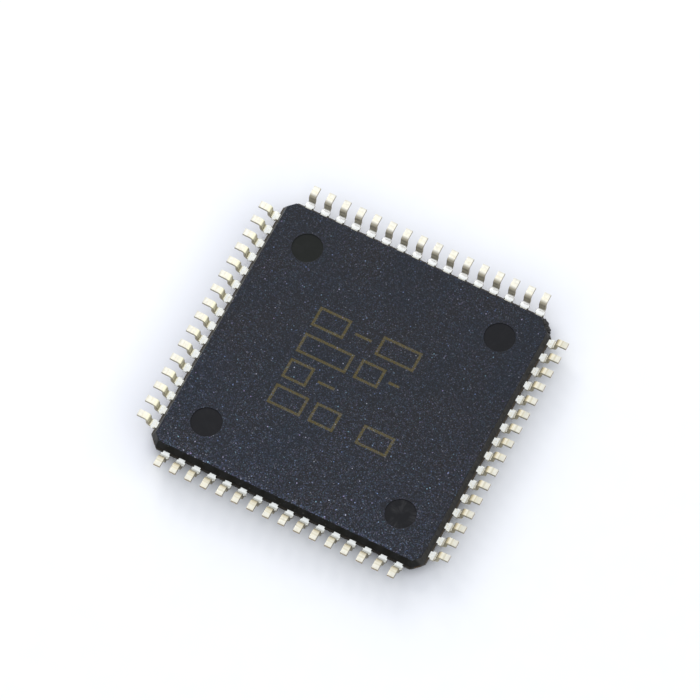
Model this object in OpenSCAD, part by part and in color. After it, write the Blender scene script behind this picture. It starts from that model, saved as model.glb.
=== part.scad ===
// Microcontroller in a thin quad flat package, with gull-wing leads on its four sides.
// It lies on its top face: the leads bend up, and their feet share the solder plane above the underside.
// Lengths are in millimetres, with +Z up and the origin in the middle of the face that it lies on.

/* [Moulded body] */
// Thickness of the moulded body
body_h = 1.0; // [0.9:0.05:1.4]
// Centre line of a side's last lead to the next edge of the body
corner_room = 1.0; // [0.9:0.05:1.6]
// Height of the upright band at the parting line
band_h = 0.2; // [0.17:0.01:0.3]
// Draft of the moulded walls in degrees
draft = 24; // [5:1:30]
// Corner cut, along the body's edge at the parting line
corner_cut = 0.4; // [0.3:0.05:0.8]
// Corner cut on the corner that held the moulding gate
gate_cut = 0.7; // [0.5:0.05:1]
// How far the ledges of compound between the leads stand out
ledge_out = 0.06; // [0.02:0.01:0.1]

/* [Gate stub] */
// Width of the broken gate stub along its corner
gate_w = 0.7; // [0.4:0.05:0.9]
// How far the stub's highest tooth stands out of the corner
gate_out = 0.15; // [0.04:0.01:0.2]
// Height of the stub above the parting line
gate_h = 0.35; // [0.2:0.05:0.4]

/* [Marks in the faces] */
// Spacing of the four ejector-pin marks in the underside
mark_pitch = 10; // [8:0.25:11]
// Diameter of an ejector-pin mark
mark_d = 1.45; // [0.8:0.05:2]
// Depth of an ejector-pin mark
mark_depth = 0.08; // [0.03:0.01:0.15]
// Diameter of the dimple beside the first lead, in the top face
dimple_d = 1.0; // [0.6:0.05:1.6]
// Depth of the dimple
dimple_depth = 0.1; // [0.05:0.01:0.2]
// Dimple's centre in from each of the two nearest edges
dimple_in = 1.6; // [1.2:0.05:2.4]

/* [Leads] */
// Number of leads on a side
leads_per_side = 16; // [12:4:20]
// Spacing of the leads
pitch = 0.8; // [0.65:0.05:1]
// Width of a lead
lead_w = 0.34; // [0.26:0.01:0.42]
// Thickness of the lead frame
lead_t = 0.15; // [0.1:0.01:0.16]
// Reach of a lead, from the body's edge to its toe
lead_out = 1.0; // [0.9:0.05:1.4]
// Length of a foot's flat sole
foot_l = 0.37; // [0.25:0.01:0.45]
// Solder plane above the underside
standoff = 0.1; // [0.05:0.01:0.15]
// Inner radius of a lead's two bends
bend_r = 0.09; // [0.06:0.01:0.12]
// Width across the stubs of the sheared dam bar
stub_w = 0.45; // [0.43:0.01:0.5]
// Length of a stub along its lead
stub_l = 0.2; // [0.12:0.01:0.24]
// Body's edge to the stubs
stub_gap = 0.1; // [0.04:0.01:0.14]

/* [Lead frame inside the body] */
// Gap between a corner lead and the tie bar beside it
tie_gap = 0.15; // [0.1:0.01:0.2]
// Width of a finger's tip
finger_w = 0.14; // [0.1:0.01:0.2]
// Length of a finger's straight tip
finger_l = 0.4; // [0.3:0.05:0.6]
// Centre line of a side's last tip to the corner of the square that the tips stand on
tip_room = 0.8; // [0.7:0.05:1.2]
// Gap between the finger tips and the die paddle
tip_gap = 0.4; // [0.25:0.05:0.6]
// Edge of the paddle out from the die
paddle_rim = 0.7; // [0.5:0.05:1]
// Set of the paddle from the plane of the leads, towards the underside
paddle_set = 0.175; // [0.1:0.005:0.2]
// Width of a tie bar
tie_w = 0.3; // [0.2:0.02:0.4]
// Length of a tie bar's slope, seen from above
tie_slope = 0.4; // [0.3:0.05:0.8]

/* [Die and bond wires] */
// Side of the square die
die_w = 4.2; // [3.8:0.1:4.8]
// Thickness of the die
die_t = 0.25; // [0.15:0.01:0.28]
// Thickness of the die-attach adhesive
attach_t = 0.025; // [0.01:0.005:0.04]
// Adhesive that shows around the die
attach_rim = 0.1; // [0.05:0.01:0.2]
// Centre of a side's last bond ball in from the die's corner
ball_room = 0.45; // [0.35:0.05:0.8]
// Centre of a bond ball in from the die's edge
ball_in = 0.12; // [0.08:0.01:0.2]
// Diameter of a bond ball
ball_d = 0.08; // [0.06:0.01:0.1]
// Height of a bond ball
ball_h = 0.02; // [0.01:0.005:0.03]
// Diameter of a bond wire
wire_d = 0.03; // [0.02:0.005:0.04]
// Height of a wire's loop over the die
loop_h = 0.13; // [0.1:0.01:0.15]
// Radius of a loop's two bends
loop_r = 0.05; // [0.03:0.01:0.06]
// Stitch of a wire on its finger, in from the finger's end
stitch_in = 0.2; // [0.1:0.01:0.25]

/* [Hidden] */
// The leads and their wires are kept in banks, in the order of the package's numbers
sides = 4;
banks_per_side = 4;
banks = sides * banks_per_side;
leads_per_bank = leads_per_side / banks_per_side;

// Fineness of the round parts, and of the hair-thin wires
$fn = 48;
wire_fn = 24;

// Cuts reach past the faces that they open
past = 0.5;

body_w = (leads_per_side - 1) * pitch + 2 * corner_room;
half_w = body_w / 2;
parting_z = body_h / 2;
band_z = parting_z - band_h / 2;
draft_in = band_z * tan(draft);
corner_at = (body_w - corner_cut) / sqrt(2);
gate_at = (body_w - gate_cut) / sqrt(2);

// Heights of the teeth along the stub's broken edge, as parts of gate_out
gate_teeth = [0.3, 1, 0.5, 0.8, 0.2];

// What stands out of the body is rooted this far in it
root = 0.4;

// A lead: flat shoulder, quarter bend, upright riser, quarter bend, flat foot
lead_z = parting_z - lead_t / 2;
sole_z = body_h + standoff;
rise = sole_z - lead_t - lead_z;
bend_mid = bend_r + lead_t / 2;
riser_l = rise - 2 * bend_mid;
shoulder_l = lead_out - foot_l - 2 * bend_mid;
stub_flank = (stub_w - lead_w) / 2;

// The paddle carries the die, and the finger tips stand on a square around the paddle
paddle_w = die_w + 2 * paddle_rim;
paddle_z = lead_z + paddle_set;
tie_start = paddle_w / sqrt(2) - tie_w / 2;
tip_y = paddle_w / 2 + tip_gap;
tip_pitch = 2 * (tip_y - tip_room) / (leads_per_side - 1);

// The leads run straight in from the body's edge as far as the corner leads clear the tie bars
neck_in = corner_room - lead_w / 2 - (tie_w / 2 + tie_gap) * sqrt(2);

// Layers on the paddle, down towards the top face
attach_w = die_w + 2 * attach_rim;
attach_z = paddle_z - attach_t;
die_z = attach_z - die_t;
ball_pitch = 2 * (die_w / 2 - ball_room) / (leads_per_side - 1);
loop_z = die_z - loop_h;

function two_digits(number) = number < 10 ? str("0", number) : str(number);

// Name of a bank, such as leads_05_08
function bank_name(kind, bank) =
    str(kind, "_", two_digits(bank * leads_per_bank + 1), "_", two_digits((bank + 1) * leads_per_bank));

// Places of a bank's leads in the order of the package's numbers, counted from zero
function bank_range(bank) = [bank * leads_per_bank : (bank + 1) * leads_per_bank - 1];

// Place of a lead in its row, counted from the middle of the row
function row_place(index) = index % leads_per_side - (leads_per_side - 1) / 2;

// The length to a ten-thousandth, so that the pieces of a loop share their joints
function round_length(length) = round(length * 10000) / 10000;

// Turns what is drawn on the +Y side to the side of a lead. The numbers run clockwise from above.
module on_side_of(index) {
    rotate([0, 0, -90 * floor(index / leads_per_side)]) children();
}

// Turns a side view, drawn with x outwards and y up, to look along the row
module side_view() {
    rotate([90, 0, 90]) children();
}

// Two facing walls of the body, drafted above and below the band
module drafted_walls(left, right) {
    rotate([90, 0, 0])
        linear_extrude(2 * body_w, center = true)
            polygon([
                [-left + draft_in, 0],
                [right - draft_in, 0],
                [right, band_z],
                [right, band_z + band_h],
                [right - draft_in, body_h],
                [-left + draft_in, body_h],
                [-left, band_z + band_h],
                [-left, band_z]
            ]);
}

// The moulded block with its cut corners
module body_block() {
    intersection() {
        drafted_walls(half_w, half_w);
        rotate([0, 0, 90]) drafted_walls(half_w, half_w);
        rotate([0, 0, 45]) drafted_walls(corner_at, gate_at);
        rotate([0, 0, -45]) drafted_walls(corner_at, corner_at);
    }
}

// What is left of the gate where the runner was broken off
module gate_stub() {
    last = len(gate_teeth) - 1;
    rotate([0, 0, -45])
        translate([0, gate_at, parting_z])
            linear_extrude(gate_h)
                polygon(concat(
                    [[gate_w / 2, -root], [-gate_w / 2, -root]],
                    [for (tooth = [0 : last])
                        [gate_w * (tooth / last - 1 / 2), gate_out * gate_teeth[tooth]]]
                ));
}

// Ledges between the leads and as thick as they are, where the compound ran out towards the dam bar
module dam_ledges() {
    row_l = (leads_per_side - 1) * pitch;
    for (side = [0 : sides - 1])
        rotate([0, 0, -90 * side])
            translate([-row_l / 2, half_w - root, lead_z])
                cube([row_l, root + ledge_out, lead_t]);
}

module ejector_marks() {
    for (x = [-1, 1], y = [-1, 1])
        translate([x * mark_pitch / 2, y * mark_pitch / 2, body_h - mark_depth])
            cylinder(h = mark_depth + past, d = mark_d);
}

module first_lead_dimple() {
    translate([dimple_in - half_w, half_w - dimple_in, -past])
        cylinder(h = dimple_depth + past, d = dimple_d);
}

module mould_body() {
    color([0.16, 0.17, 0.20])
        difference() {
            union() {
                body_block();
                gate_stub();
                dam_ledges();
            }
            ejector_marks();
            first_lead_dimple();
            for (index = [0 : sides * leads_per_side - 1]) lead_plate(index);
            for (index = [0 : sides * leads_per_side - 1]) bond_wire(index);
            paddle_and_ties();
            attach_layer();
            die_block();
        }
}

// A tie bar, from the paddle's corner down its slope and out to the body's cut corner
module tie_bar(angle, reach) {
    rotate([0, 0, angle])
        rotate([90, 0, 0])
            linear_extrude(tie_w, center = true)
                polygon([
                    [0, paddle_z],
                    [tie_start, paddle_z],
                    [tie_start + tie_slope, lead_z],
                    [reach, lead_z],
                    [reach, lead_z + lead_t],
                    [tie_start + tie_slope, lead_z + lead_t],
                    [tie_start, paddle_z + lead_t],
                    [0, paddle_z + lead_t]
                ]);
}

module paddle_and_ties() {
    translate([-paddle_w / 2, -paddle_w / 2, paddle_z]) cube([paddle_w, paddle_w, lead_t]);
    tie_bar(45, gate_at);
    for (angle = [135, 225, 315]) tie_bar(angle, corner_at);
}

module die_paddle() {
    color([0.72, 0.45, 0.30]) paddle_and_ties();
}

module attach_layer() {
    translate([-attach_w / 2, -attach_w / 2, attach_z]) cube([attach_w, attach_w, attach_t]);
}

module die_attach() {
    color([0.62, 0.63, 0.62]) attach_layer();
}

module die_block() {
    translate([-die_w / 2, -die_w / 2, die_z]) cube([die_w, die_w, die_t]);
}

module silicon_die() {
    color([0.35, 0.38, 0.46]) die_block();
}

// The flat part of a lead: the finger that fans in to the die, the neck, and the shoulder with its stubs
module lead_plate(index) {
    place = row_place(index);
    x = place * pitch;
    tip_x = place * tip_pitch;
    stub_y = half_w + stub_gap;
    on_side_of(index)
        translate([0, 0, lead_z]) {
            linear_extrude(lead_t)
                polygon([
                    [tip_x - finger_w / 2, tip_y],
                    [tip_x + finger_w / 2, tip_y],
                    [tip_x + finger_w / 2, tip_y + finger_l],
                    [x + lead_w / 2, half_w - neck_in],
                    [x + lead_w / 2, half_w + shoulder_l],
                    [x - lead_w / 2, half_w + shoulder_l],
                    [x - lead_w / 2, half_w - neck_in],
                    [tip_x - finger_w / 2, tip_y + finger_l]
                ]);
            linear_extrude(lead_t)
                polygon([
                    [x - lead_w / 2, stub_y],
                    [x + lead_w / 2, stub_y],
                    [x + stub_w / 2, stub_y + stub_flank],
                    [x + stub_w / 2, stub_y + stub_l],
                    [x - stub_w / 2, stub_y + stub_l],
                    [x - stub_w / 2, stub_y + stub_flank]
                ]);
        }
}

// A quarter turn of the lead's strip about the origin of the side view
module strip_bend() {
    rotate_extrude(angle = 90)
        translate([bend_r, -lead_w / 2])
            square([lead_t, lead_w]);
}

// The formed end of a lead, from its shoulder up to its foot
module gull_wing(index) {
    on_side_of(index)
        translate([row_place(index) * pitch, half_w + shoulder_l, lead_z])
            side_view() {
                translate([0, lead_t + bend_r, 0]) rotate([0, 0, -90]) strip_bend();
                translate([bend_r, lead_t + bend_r, -lead_w / 2]) cube([lead_t, riser_l, lead_w]);
                translate([2 * bend_mid, rise - bend_r, 0]) rotate([0, 0, 90]) strip_bend();
                translate([2 * bend_mid, rise, -lead_w / 2]) cube([foot_l, lead_t, lead_w]);
            }
}

module leads(bank) {
    color([0.83, 0.82, 0.76])
        for (index = bank_range(bank))
            union() {
                lead_plate(index);
                gull_wing(index);
            }
}

// A quarter turn of the wire about the origin of its side view
module wire_bend() {
    rotate_extrude(angle = 90, $fn = wire_fn)
        translate([loop_r, 0])
            circle(d = wire_d, $fn = wire_fn);
}

// A bond wire: a ball on the die, a flat loop under it, and a stitch on the lead's finger
module bond_wire(index) {
    place = row_place(index);
    start = [place * ball_pitch, die_w / 2 - ball_in];
    span = [place * tip_pitch, tip_y + stitch_in] - start;
    length = round_length(norm(span));
    on_side_of(index)
        translate([start.x, start.y, 0])
            rotate([0, 0, atan2(span.y, span.x)]) {
                translate([0, 0, die_z - ball_h]) cylinder(h = ball_h, d = ball_d, $fn = wire_fn);
                translate([0, 0, loop_z + loop_r])
                    cylinder(h = loop_h - loop_r - ball_h, d = wire_d, $fn = wire_fn);
                translate([loop_r, 0, loop_z])
                    rotate([0, 90, 0]) cylinder(h = length - 2 * loop_r, d = wire_d, $fn = wire_fn);
                translate([length, 0, loop_z + loop_r])
                    cylinder(h = lead_z - loop_z - loop_r, d = wire_d, $fn = wire_fn);
                rotate([90, 0, 0]) {
                    translate([loop_r, loop_z + loop_r, 0]) rotate([0, 0, 180]) wire_bend();
                    translate([length - loop_r, loop_z + loop_r, 0]) rotate([0, 0, -90]) wire_bend();
                }
            }
}

module bond_wires(bank) {
    color([0.90, 0.74, 0.36])
        for (index = bank_range(bank)) bond_wire(index);
}

mould_body();
die_paddle();
die_attach();
silicon_die();
for (bank = [0 : banks - 1]) {
    leads(bank);
    bond_wires(bank);
}
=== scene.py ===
"""Looks of a microcontroller chip in a thin quad flat package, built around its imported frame.

The chip lies on its top face: its underside looks up, and the feet of its leads rise a little above it.
Meshes and patterns are worked out in millimetres, and each finished mesh is brought to metres.
"""

import logging
import math
from abc import ABC, abstractmethod
from dataclasses import dataclass
from enum import Enum
from typing import Any, Dict, List, NamedTuple, Optional, Tuple, Union

import bmesh
import bpy
from mathutils import Matrix, Vector, noise


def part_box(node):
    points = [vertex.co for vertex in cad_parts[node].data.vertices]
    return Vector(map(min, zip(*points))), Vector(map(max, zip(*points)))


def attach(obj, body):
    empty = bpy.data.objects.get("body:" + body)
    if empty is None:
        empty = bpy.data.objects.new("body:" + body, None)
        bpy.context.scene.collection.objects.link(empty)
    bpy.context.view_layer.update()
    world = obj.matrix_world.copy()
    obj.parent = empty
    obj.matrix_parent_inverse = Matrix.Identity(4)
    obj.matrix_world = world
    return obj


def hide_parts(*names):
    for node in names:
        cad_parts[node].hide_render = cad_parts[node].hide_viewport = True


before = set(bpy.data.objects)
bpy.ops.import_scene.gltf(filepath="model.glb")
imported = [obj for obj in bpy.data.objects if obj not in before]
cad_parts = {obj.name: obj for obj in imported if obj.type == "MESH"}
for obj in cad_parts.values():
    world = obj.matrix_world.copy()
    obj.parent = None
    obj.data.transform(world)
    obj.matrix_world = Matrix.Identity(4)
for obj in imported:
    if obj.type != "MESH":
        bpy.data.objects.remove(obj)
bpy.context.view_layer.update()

MM = 0.001
BODY = "root"
QUARTER = math.pi / 2.0
EVEN_WEIGHT = 90
LOG = logging.getLogger("chip")

Colour = Tuple[float, float, float, float]
Stops = Tuple[Tuple[float, Colour], ...]
Operand = Union["Value", float]
Key = Union[int, str]
Inputs = Dict[Key, Any]


class Slot(Enum):
    """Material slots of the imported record."""

    MOULDING = "moulding_compound"
    TIN = "tin_plate"


class LeadMark(Enum):
    """Attributes that the leads carry from their nodes to their finish."""

    TOE_RUN = "toe_run"
    TONE = "lead_tone"
    EDGE = "lead_edge"


class MarkForm(Enum):
    """Forms that the laser mark is made of."""

    FRAME = "frame"
    DASH = "dash"


def shade(red: int, green: int, blue: int) -> Colour:
    """Turns a display colour to a linear one.

    Args:
        red: Red from 0 to 255.
        green: Green from 0 to 255.
        blue: Blue from 0 to 255.

    Returns:
        The linear colour with a full alpha.
    """
    parts = [part / 255.0 for part in (red, green, blue)]
    linear = [part / 12.92 if part <= 0.04045 else ((part + 0.055) / 1.055) ** 2.4 for part in parts]
    return (*linear, 1.0)


def rounded(before: Vector, corner: Vector, after: Vector, steps: int) -> List[Vector]:
    """Draws the curve that rounds a corner.

    Args:
        before: Where the curve starts.
        corner: The corner that it rounds.
        after: Where the curve ends.
        steps: Number of its straight parts.

    Returns:
        The points of the curve.
    """
    points = []
    for step in range(steps + 1):
        part = step / steps
        points.append(before * (1.0 - part) ** 2 + corner * (2.0 * part * (1.0 - part)) + after * part ** 2)
    return points


def direction(azimuth: float, elevation: float) -> Vector:
    """Turns two angles to a direction.

    Args:
        azimuth: Angle about the upright axis, from the front to the right.
        elevation: Angle above the table.

    Returns:
        The direction, one unit long.
    """
    flat = math.cos(elevation)
    return Vector((math.sin(azimuth) * flat, -math.cos(azimuth) * flat, math.sin(elevation)))


class Value:
    """The output of a node, used in expressions as a number is."""

    def __init__(self, graph: "Graph", socket: Optional[bpy.types.NodeSocket]) -> None:
        """Keeps the socket and the graph that holds it."""
        self.graph = graph
        self.socket = socket

    def __add__(self, other: Operand) -> "Value":
        """Adds a Math node for self + other."""
        return self.graph.math("ADD", self, other)

    def __radd__(self, other: Operand) -> "Value":
        """Adds a Math node for other + self."""
        return self.graph.math("ADD", other, self)

    def __sub__(self, other: Operand) -> "Value":
        """Adds a Math node for self - other."""
        return self.graph.math("SUBTRACT", self, other)

    def __rsub__(self, other: Operand) -> "Value":
        """Adds a Math node for other - self."""
        return self.graph.math("SUBTRACT", other, self)

    def __mul__(self, other: Operand) -> "Value":
        """Adds a Math node for self * other."""
        return self.graph.math("MULTIPLY", self, other)

    def __rmul__(self, other: Operand) -> "Value":
        """Adds a Math node for other * self."""
        return self.graph.math("MULTIPLY", other, self)

    def __truediv__(self, other: Operand) -> "Value":
        """Adds a Math node for self / other."""
        return self.graph.math("DIVIDE", self, other)

    def __rtruediv__(self, other: Operand) -> "Value":
        """Adds a Math node for other / self."""
        return self.graph.math("DIVIDE", other, self)

    def __abs__(self) -> "Value":
        """Adds a Math node for the absolute value."""
        return self.graph.math("ABSOLUTE", self)

    def output(self, name: str) -> "Value":
        """Another output of the node that this one belongs to."""
        return Value(self.graph, self.graph.find(self.socket.node.outputs, name))


class Graph:
    """A node tree under construction, of a material or of geometry."""

    def __init__(self, tree: bpy.types.NodeTree) -> None:
        """Keeps the tree that the nodes go into."""
        self.tree = tree

    @staticmethod
    def find(sockets: Any, key: Key) -> bpy.types.NodeSocket:
        """Finds a socket.

        Args:
            sockets: A node's inputs or outputs.
            key: Place, identifier or name of the socket.

        Returns:
            The socket.
        """
        if isinstance(key, int):
            return sockets[key]
        return next(socket for socket in sockets if key in (socket.identifier, socket.name))

    def node(
        self,
        kind: str,
        settings: Optional[Dict[str, Any]] = None,
        inputs: Optional[Inputs] = None,
        output: Key = 0,
    ) -> Value:
        """Adds a node of any kind.

        Args:
            kind: Type of the node.
            settings: Properties of the node, set first. Stops go to a colour ramp, and items to a switch.
            inputs: Values or links of its sockets, by place, identifier or name.
            output: Place, identifier or name of the output that is wanted.

        Returns:
            The wanted output, which is empty for a node without outputs.
        """
        made = self.tree.nodes.new(kind)
        for name, setting in (settings or {}).items():
            if name == "stops":
                while len(made.color_ramp.elements) < len(setting):
                    made.color_ramp.elements.new(1.0)
                for element, (position, colour) in zip(made.color_ramp.elements, setting):
                    element.position = position
                    element.color = colour
            elif name == "items":
                while len(made.index_switch_items) < setting:
                    made.index_switch_items.new()
            else:
                setattr(made, name, setting)
        for key, value in (inputs or {}).items():
            socket = self.find(made.inputs, key)
            if isinstance(value, Value):
                self.tree.links.new(value.socket, socket)
            else:
                socket.default_value = value
        return Value(self, self.find(made.outputs, output) if made.outputs else None)

    def math(self, operation: str, *operands: Operand) -> Value:
        """Adds a Math node of the given operation."""
        return self.node("ShaderNodeMath", {"operation": operation}, dict(enumerate(operands)))

    def vector(self, operation: str, inputs: Inputs) -> Value:
        """Adds a Vector Math node of the given operation."""
        return self.node("ShaderNodeVectorMath", {"operation": operation}, inputs, "Vector")

    def join(self, x: Operand, y: Operand, z: Operand) -> Value:
        """Joins three numbers to a vector."""
        return self.node("ShaderNodeCombineXYZ", None, {"X": x, "Y": y, "Z": z})

    def axes(self, vector: Value) -> Tuple[Value, Value, Value]:
        """Splits a vector.

        Args:
            vector: The vector to split.

        Returns:
            Its three numbers.
        """
        first = self.node("ShaderNodeSeparateXYZ", None, {"Vector": vector}, "X")
        return first, first.output("Y"), first.output("Z")

    def step(self, value: Value, edge: float, soft: float) -> Value:
        """Rises from 0 to 1 where a value passes an edge.

        Args:
            value: The value.
            edge: Where the rise is at its middle.
            soft: Width of the rise. A negative width makes it a fall.

        Returns:
            The rise, kept between 0 and 1.
        """
        settings = {"operation": "MULTIPLY_ADD", "use_clamp": True}
        return self.node("ShaderNodeMath", settings, {0: value, 1: 1.0 / soft, 2: 0.5 - edge / soft})

    def band(self, value: Value, middle: Operand, half: float, soft: float) -> Value:
        """Rises from 0 to 1 where a value is near a middle.

        Args:
            value: The value.
            middle: Middle of the band.
            half: Half width of the band.
            soft: Width of the rise at each of its sides.

        Returns:
            1 within the band and 0 beside it.
        """
        return self.step(abs(value - middle), half, -soft)

    def mix(self, factor: Operand, first: Any, second: Any) -> Value:
        """Mixes two colours by a factor."""
        inputs = {"Factor_Float": factor, "A_Color": first, "B_Color": second}
        return self.node("ShaderNodeMix", {"data_type": "RGBA"}, inputs, "Result_Color")

    def layers(self, colour: Any, coats: List[Tuple[Operand, Any]]) -> Value:
        """Lays coats of colour over each other.

        Args:
            colour: Colour under all coats.
            coats: How far each coat covers what is under it, and its colour.

        Returns:
            The colour that shows.
        """
        for cover, coat in coats:
            colour = self.mix(cover, colour, coat)
        return colour

    def ramp(self, stops: Stops, factor: Value) -> Value:
        """Picks a colour between the stops of a ramp."""
        return self.node("ShaderNodeValToRGB", {"stops": stops}, {"Fac": factor}, "Color")

    def place(self) -> Value:
        """Place on the chip in millimetres."""
        spot = self.node("ShaderNodeTexCoord", None, None, "Object")
        return self.vector("SCALE", {"Vector": spot, "Scale": 1.0 / MM})

    def cloud(self, place: Value, per_mm: float, detail: float = 2.0) -> Value:
        """Adds soft noise.

        Args:
            place: Place in millimetres.
            per_mm: Number of its swells to a millimetre.
            detail: Number of finer layers.

        Returns:
            The noise, mostly from 0.3 to 0.7.
        """
        inputs = {"Vector": place, "Scale": per_mm, "Detail": detail}
        return self.node("ShaderNodeTexNoise", None, inputs, "Fac")

    def bump(self, height: Value, depth: float) -> Value:
        """Adds a Bump node whose relief is depth millimetres."""
        return self.node("ShaderNodeBump", None, {"Distance": depth * MM, "Height": height}, "Normal")

    def attribute(self, name: LeadMark) -> Value:
        """Reads a number that the mesh carries."""
        return self.node("ShaderNodeAttribute", {"attribute_name": name.value}, None, "Fac")

    def surface(self, inputs: Inputs) -> None:
        """Ends a material in one Principled shader.

        Args:
            inputs: Values or links of the shader's sockets.
        """
        shader = self.node("ShaderNodeBsdfPrincipled", None, inputs, "BSDF")
        self.node("ShaderNodeOutputMaterial", None, {"Surface": shader})


class Finish(ABC):
    """How a surface looks."""

    name: str

    @abstractmethod
    def paint(self, graph: Graph) -> None:
        """Adds the finish's nodes to an empty graph."""

    def material(self) -> bpy.types.Material:
        """Makes the material.

        Returns:
            A new material with the finish's nodes.
        """
        made = bpy.data.materials.new(self.name)
        made.use_nodes = True
        made.node_tree.nodes.clear()
        self.paint(Graph(made.node_tree))
        return made


@dataclass(frozen=True)
class Sparkle:
    """Bright grains of filler at the surface, one to a cell of their pattern."""

    per_mm: float
    share: float
    grain: float
    strength: float
    tints: Stops

    def add(self, graph: Graph, place: Value, under: Any, busy: Operand = 1.0) -> Value:
        """Lays the grains over a colour.

        Args:
            graph: Graph of the finish.
            place: Place in millimetres.
            under: Colour that the grains lie on.
            busy: How strongly the grains show at a place.

        Returns:
            The colour with its grains.
        """
        inputs = {"Vector": place, "Scale": self.per_mm}
        cells = graph.node("ShaderNodeTexVoronoi", None, inputs, "Distance")
        lot, hue, _ = graph.axes(cells.output("Color"))
        lit = graph.step(lot, 1.0 - self.share / 2.0, self.share)
        spot = graph.step(cells, self.grain, -self.grain)
        return graph.mix(lit * lit * spot * (busy * self.strength), under, graph.ramp(self.tints, hue))


@dataclass(frozen=True)
class LaserMark:
    """Rows of plain outlined frames and dashes that a laser has bleached into the underside.

    A row is the place of its middle and its forms, and a form has its left and its right end.
    """

    line: float = 0.13
    soft: float = 0.035
    row_h: float = 1.05
    rows: Tuple[Tuple[float, Tuple[Tuple[MarkForm, float, float], ...]], ...] = (
        (2.1, (
            (MarkForm.FRAME, -3.05, -1.4),
            (MarkForm.DASH, -1.0, -0.15),
            (MarkForm.FRAME, 0.25, 2.25),
        )),
        (0.6, (
            (MarkForm.FRAME, -3.05, -0.5),
            (MarkForm.FRAME, -0.1, 1.15),
            (MarkForm.DASH, 1.5, 2.05),
        )),
        (-0.85, (
            (MarkForm.FRAME, -3.05, -1.8),
            (MarkForm.DASH, -1.4, -0.55),
        )),
        (-2.3, (
            (MarkForm.FRAME, -3.05, -1.35),
            (MarkForm.FRAME, -0.95, 0.35),
            (MarkForm.FRAME, 1.5, 3.1),
        )),
    )

    def mask(self, graph: Graph, x: Value, y: Value) -> Value:
        """Finds where the laser has been.

        Args:
            graph: Graph of the finish.
            x: Place along the rows, in millimetres.
            y: Place across the rows, in millimetres.

        Returns:
            1 on the lines of the mark and 0 beside them.
        """
        half = self.line / 2.0
        marked: Optional[Value] = None
        for middle, forms in self.rows:
            from_row = abs(y - middle)
            for form, left, right in forms:
                past_end = abs(x - (left + right) / 2.0) - (right - left) / 2.0
                past_row = from_row - (self.row_h / 2.0 if form is MarkForm.FRAME else half)
                drawn = graph.band(graph.math("MAXIMUM", past_end, past_row), -half, half, self.soft)
                marked = drawn if marked is None else graph.math("MAXIMUM", marked, drawn)
        return marked


FILLER_TINTS: Stops = (
    (0.0, shade(104, 132, 184)),
    (0.35, shade(132, 144, 182)),
    (0.6, shade(122, 164, 180)),
    (0.8, shade(148, 132, 180)),
    (1.0, shade(214, 220, 232)),
)


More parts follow.
